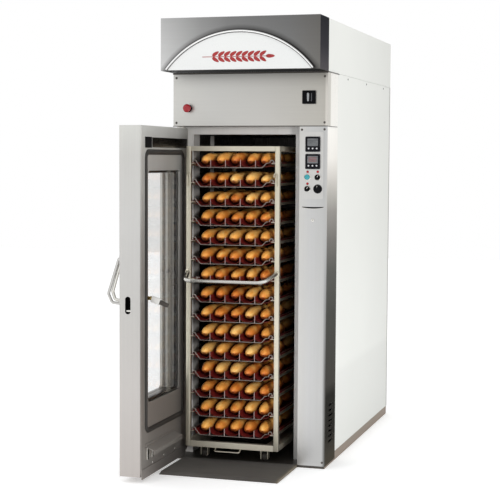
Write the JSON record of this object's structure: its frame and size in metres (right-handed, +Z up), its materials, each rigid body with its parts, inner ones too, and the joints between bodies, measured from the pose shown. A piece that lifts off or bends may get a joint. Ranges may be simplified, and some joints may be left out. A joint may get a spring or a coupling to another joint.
{
  "type": "roll-in rack cabinet",
  "caption": "Tall insulated bakery cabinet with a windowed side-hinged door, control column, steam canopy and a wheeled rack of channelled trays that rolls in over a ramp.",
  "frame": {"origin": "on the floor, under the centre of the cabinet body's footprint", "axes": "+Z up, +X to the user's right as they face the doorway, +Y into the cabinet's depth"},
  "size_m": [0.98, 2.205, 2.3],
  "materials": {
    "brushed_steel": "brushed stainless sheet, grain along the sheet",
    "liner_steel": "smooth stainless sheet, heat tinted",
    "bright_steel": "polished tube",
    "rack_steel": "satin welded stainless box section",
    "white_panel": "satin off-white coated sheet",
    "white_sign": "gloss white panel, left plain",
    "plinth_paint": "brown-grey paint",
    "black_plastic": "moulded, fine texture",
    "black_rubber": "extruded silicone seal",
    "red_plastic": "moulded",
    "teal_lens": "translucent lens",
    "grey_plastic": "moulded",
    "window_glass": "clear double glazing",
    "brass": "turned",
    "tray_coating": "red-brown non-stick coating on perforated sheet",
    "caster_tread": "heat-resistant wheel tread",
    "blower_aluminium": "as cast"
  },
  "bodies": {
    "cabinet": {"base_plinth": "plinth_paint", "side_panel_left": "white_panel", "side_panel_right": "white_panel", "rear_panel": "brushed_steel", "roof_cover": "white_panel", "canopy_hood": "brushed_steel", "upper_housing": "brushed_steel", "control_column": "brushed_steel", "door_frame": "brushed_steel", "chamber_liner": "liner_steel", "chamber_rear_wall": "liner_steel", "fan_motor": "blower_aluminium", "arched_sign": "white_sign", "threshold_ramp": "liner_steel", "hinge_pivot_top": "brushed_steel", "hinge_pivot_bottom": "brushed_steel", "temperature_controller": "black_plastic", "timer_controller": "black_plastic"},
    "fan": {"fan_wheel": "blower_aluminium"},
    "door": {"door_shell": "brushed_steel", "door_inner_frame": "liner_steel", "door_gasket": "black_rubber", "door_window": "window_glass", "door_drip_ledge": "liner_steel"},
    "pull": {"door_pull": "brushed_steel"},
    "release": {"inside_release": "brass"},
    "start": {"start_button": "teal_lens"},
    "light": {"light_selector": "black_plastic"},
    "steam": {"steam_selector": "black_plastic"},
    "signal": {"signal_knob": "black_plastic"},
    "stop": {"emergency_stop": "red_plastic"},
    "main_switch": {"main_switch_lever": "grey_plastic"},
    "rack": {"rack_side_left": "rack_steel", "rack_side_right": "rack_steel", "rack_base_frame": "rack_steel", "rack_top_frame": "rack_steel", "rack_push_bar": "bright_steel"},
    "fork_front_left": {"caster_fork_front_left": "rack_steel"},
    "wheel_front_left": {"caster_wheel_front_left": "caster_tread"},
    "fork_front_right": {"caster_fork_front_right": "rack_steel"},
    "wheel_front_right": {"caster_wheel_front_right": "caster_tread"},
    "fork_rear_left": {"caster_fork_rear_left": "rack_steel"},
    "wheel_rear_left": {"caster_wheel_rear_left": "caster_tread"},
    "fork_rear_right": {"caster_fork_rear_right": "rack_steel"},
    "wheel_rear_right": {"caster_wheel_rear_right": "caster_tread"},
    "tray_01": {"tray_01": "tray_coating"},
    "tray_02": {"tray_02": "tray_coating"},
    "tray_03": {"tray_03": "tray_coating"},
    "tray_04": {"tray_04": "tray_coating"},
    "tray_05": {"tray_05": "tray_coating"},
    "tray_06": {"tray_06": "tray_coating"},
    "tray_07": {"tray_07": "tray_coating"},
    "tray_08": {"tray_08": "tray_coating"},
    "tray_09": {"tray_09": "tray_coating"},
    "tray_10": {"tray_10": "tray_coating"},
    "tray_11": {"tray_11": "tray_coating"},
    "tray_12": {"tray_12": "tray_coating"},
    "tray_13": {"tray_13": "tray_coating"},
    "tray_14": {"tray_14": "tray_coating"},
    "tray_15": {"tray_15": "tray_coating"}
  },
  "joints": [
    {"name": "door_swing", "type": "hinge", "parent": "cabinet", "child": "door", "pos_m": [-0.4005, -0.7325, 1], "axis": [0, 0, 1], "range_deg": [-55, 90]},
    {"name": "rack_roll", "type": "slide", "parent": "cabinet", "child": "rack", "axis": [0, 1, 0], "range_m": [-0.276, 0.4501]},
    {"name": "pull_lift", "type": "hinge", "parent": "door", "child": "pull", "pos_m": [-0.482, -1.345, 1.1], "axis": [0, 1, 0], "range_deg": [0, 18]},
    {"name": "release_turn", "type": "hinge", "parent": "door", "child": "release", "pos_m": [-0.364, -1.3075, 0.905], "axis": [1, 0, 0], "range_deg": [0, 60]},
    {"name": "start_press", "type": "slide", "parent": "cabinet", "child": "start", "axis": [0, 1, 0], "range_m": [0, 0.0035], "stiffness_N_per_m": 800},
    {"name": "light_select", "type": "hinge", "parent": "cabinet", "child": "light", "pos_m": [0.3645, -0.81, 1.4985], "axis": [0, -1, 0], "range_deg": [-45, 45]},
    {"name": "steam_select", "type": "hinge", "parent": "cabinet", "child": "steam", "pos_m": [0.311, -0.81, 1.4398], "axis": [0, -1, 0], "range_deg": [-45, 45]},
    {"name": "signal_turn", "type": "hinge", "parent": "cabinet", "child": "signal", "pos_m": [0.3652, -0.81, 1.4395], "axis": [0, -1, 0], "range_deg": [-135, 135]},
    {"name": "stop_press", "type": "slide", "parent": "cabinet", "child": "stop", "axis": [0, 1, 0], "range_m": [0, 0.006]},
    {"name": "main_switch_turn", "type": "hinge", "parent": "cabinet", "child": "main_switch", "pos_m": [0.314, -0.8215, 1.9035], "axis": [0, -1, 0], "range_deg": [-90, 0]},
    {"name": "fan_spin", "type": "hinge", "parent": "cabinet", "child": "fan", "pos_m": [-0.0645, 0.49, 1], "axis": [0, 1, 0], "continuous": true},
    {"name": "swivel_front_left", "type": "hinge", "parent": "rack", "child": "fork_front_left", "pos_m": [-0.245, -0.78, 0.06], "axis": [0, 0, 1], "continuous": true},
    {"name": "roll_front_left", "type": "hinge", "parent": "fork_front_left", "child": "wheel_front_left", "pos_m": [-0.245, -0.768, 0.037], "axis": [1, 0, 0], "continuous": true},
    {"name": "swivel_front_right", "type": "hinge", "parent": "rack", "child": "fork_front_right", "pos_m": [0.085, -0.78, 0.06], "axis": [0, 0, 1], "continuous": true},
    {"name": "roll_front_right", "type": "hinge", "parent": "fork_front_right", "child": "wheel_front_right", "pos_m": [0.085, -0.768, 0.037], "axis": [1, 0, 0], "continuous": true},
    {"name": "swivel_rear_left", "type": "hinge", "parent": "rack", "child": "fork_rear_left", "pos_m": [-0.245, -0.1, 0.06], "axis": [0, 0, 1], "continuous": true},
    {"name": "roll_rear_left", "type": "hinge", "parent": "fork_rear_left", "child": "wheel_rear_left", "pos_m": [-0.245, -0.088, 0.037], "axis": [1, 0, 0], "continuous": true},
    {"name": "swivel_rear_right", "type": "hinge", "parent": "rack", "child": "fork_rear_right", "pos_m": [0.085, -0.1, 0.06], "axis": [0, 0, 1], "continuous": true},
    {"name": "roll_rear_right", "type": "hinge", "parent": "fork_rear_right", "child": "wheel_rear_right", "pos_m": [0.085, -0.088, 0.037], "axis": [1, 0, 0], "continuous": true},
    {"name": "tray_01_slide", "type": "slide", "parent": "rack", "child": "tray_01", "axis": [0, 1, 0], "range_m": [-0.3, 0]},
    {"name": "tray_02_slide", "type": "slide", "parent": "rack", "child": "tray_02", "axis": [0, 1, 0], "range_m": [-0.3, 0]},
    {"name": "tray_03_slide", "type": "slide", "parent": "rack", "child": "tray_03", "axis": [0, 1, 0], "range_m": [-0.3, 0]},
    {"name": "tray_04_slide", "type": "slide", "parent": "rack", "child": "tray_04", "axis": [0, 1, 0], "range_m": [-0.3, 0]},
    {"name": "tray_05_slide", "type": "slide", "parent": "rack", "child": "tray_05", "axis": [0, 1, 0], "range_m": [-0.3, 0]},
    {"name": "tray_06_slide", "type": "slide", "parent": "rack", "child": "tray_06", "axis": [0, 1, 0], "range_m": [-0.3, 0]},
    {"name": "tray_07_slide", "type": "slide", "parent": "rack", "child": "tray_07", "axis": [0, 1, 0], "range_m": [-0.1, 0]},
    {"name": "tray_08_slide", "type": "slide", "parent": "rack", "child": "tray_08", "axis": [0, 1, 0], "range_m": [-0.3, 0]},
    {"name": "tray_09_slide", "type": "slide", "parent": "rack", "child": "tray_09", "axis": [0, 1, 0], "range_m": [-0.3, 0]},
    {"name": "tray_10_slide", "type": "slide", "parent": "rack", "child": "tray_10", "axis": [0, 1, 0], "range_m": [-0.3, 0]},
    {"name": "tray_11_slide", "type": "slide", "parent": "rack", "child": "tray_11", "axis": [0, 1, 0], "range_m": [-0.3, 0]},
    {"name": "tray_12_slide", "type": "slide", "parent": "rack", "child": "tray_12", "axis": [0, 1, 0], "range_m": [-0.3, 0]},
    {"name": "tray_13_slide", "type": "slide", "parent": "rack", "child": "tray_13", "axis": [0, 1, 0], "range_m": [-0.3, 0]},
    {"name": "tray_14_slide", "type": "slide", "parent": "rack", "child": "tray_14", "axis": [0, 1, 0], "range_m": [-0.3, 0]},
    {"name": "tray_15_slide", "type": "slide", "parent": "rack", "child": "tray_15", "axis": [0, 1, 0], "range_m": [-0.3, 0]}
  ],
  "couplings": [
    {"joint": "rack_roll", "follows": "door_swing", "m_per_rad": 0.28648}
  ]
}
